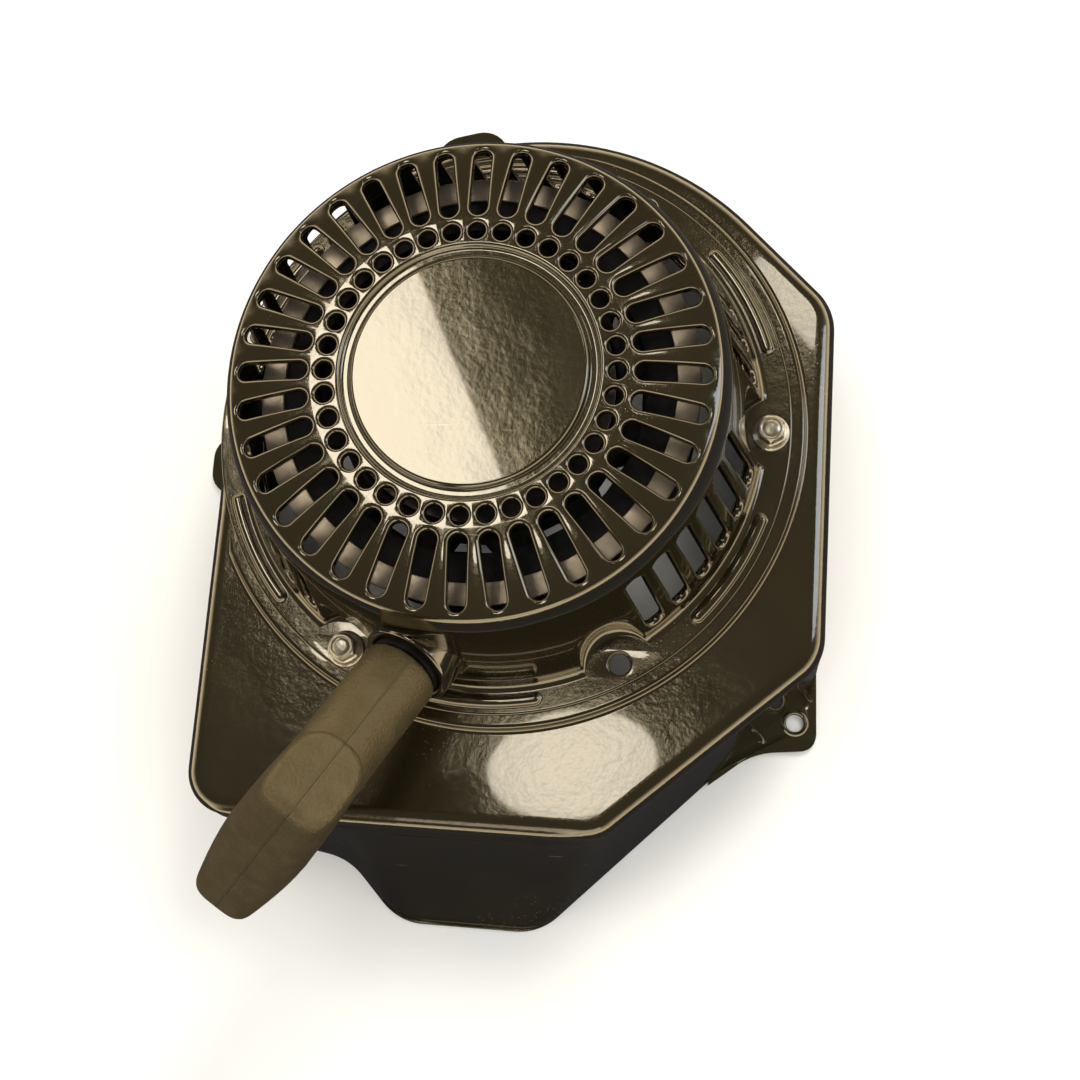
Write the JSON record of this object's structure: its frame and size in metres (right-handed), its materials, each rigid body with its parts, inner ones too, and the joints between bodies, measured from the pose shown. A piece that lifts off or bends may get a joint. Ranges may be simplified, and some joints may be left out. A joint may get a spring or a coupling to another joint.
{
  "type": "recoil starter with fan cover",
  "caption": "Pull-cord recoil starter on the pressed-steel fan cover of a single-cylinder petrol engine: slotted round case, T-grip, rope reel, rewind spring and pawls.",
  "frame": {"origin": "middle of the starter's flat outer face, on the crank axis", "axes": "+Z along the crank axis out of the starter's face, +X towards the cover's straight side with the corner ear, -Y towards the cover's deep flared side and the pull grip; the part rests on its back rim at z = -0.126 m"},
  "size_m": [0.24, 0.3152, 0.1775],
  "materials": {
    "cover_enamel": "gloss dark olive-bronze enamel, light orange peel",
    "case_enamel": "gloss dark olive-bronze enamel, light orange peel",
    "grip_plastic": "fine-grained matt grey-brown",
    "zinc_plate": "bright zinc plate",
    "bare_steel": "bare steel with a fine turned grain",
    "spring_steel": "oiled blue-grey spring steel",
    "black_plastic": "satin black",
    "rope": "braided nylon"
  },
  "bodies": {
    "housing": {"fan_cover": "cover_enamel", "starter_case": "case_enamel", "centre_post": "zinc_plate", "rope_guide": "black_plastic", "rope_run": "rope", "rewind_spring": "spring_steel", "thrust_washer": "black_plastic", "centre_bolt": "zinc_plate", "case_bolt_1": "zinc_plate", "case_bolt_2": "zinc_plate", "case_bolt_3": "zinc_plate", "weld_nut_1": "zinc_plate", "weld_nut_2": "zinc_plate", "weld_nut_3": "zinc_plate"},
    "grip": {"pull_handle": "grip_plastic", "rope_tail": "rope"},
    "reel": {"rope_reel": "black_plastic", "reel_rim": "bare_steel", "rope_coil": "rope", "spring_cover": "spring_steel", "pawl_pin_a": "zinc_plate", "pawl_pin_b": "zinc_plate", "pawl_spring_a": "spring_steel", "pawl_spring_b": "spring_steel"},
    "pawl_guide": {"guide_plate": "zinc_plate", "friction_spring": "spring_steel"},
    "pawl_a": {"pawl_a": "bare_steel"},
    "pawl_b": {"pawl_b": "bare_steel"}
  },
  "joints": [
    {"name": "grip_pull", "type": "slide", "parent": "housing", "child": "grip", "axis": [-0.3876, -0.7844, 0.4843], "range_m": [0, 0.9], "stiffness_N_per_m": 12, "springref_m": -0.8},
    {"name": "reel_spin", "type": "hinge", "parent": "housing", "child": "reel", "pos_m": [0, 0, -0.026], "axis": [0, 0, -1], "range_deg": [0, 820]},
    {"name": "guide_turn", "type": "hinge", "parent": "reel", "child": "pawl_guide", "pos_m": [0, 0, -0.046], "axis": [0, 0, 1], "range_deg": [0, 35]},
    {"name": "pawl_a_swing", "type": "hinge", "parent": "reel", "child": "pawl_a", "pos_m": [0.03, 0, -0.037], "axis": [0, 0, 1], "range_deg": [0, 42]},
    {"name": "pawl_b_swing", "type": "hinge", "parent": "reel", "child": "pawl_b", "pos_m": [-0.03, 0, -0.037], "axis": [0, 0, 1], "range_deg": [0, 42]}
  ],
  "couplings": [
    {"joint": "reel_spin", "follows": "grip_pull", "rad_per_m": 15.82},
    {"joint": "pawl_a_swing", "follows": "guide_turn", "ratio": 1.2},
    {"joint": "pawl_b_swing", "follows": "guide_turn", "ratio": 1.2}
  ]
}
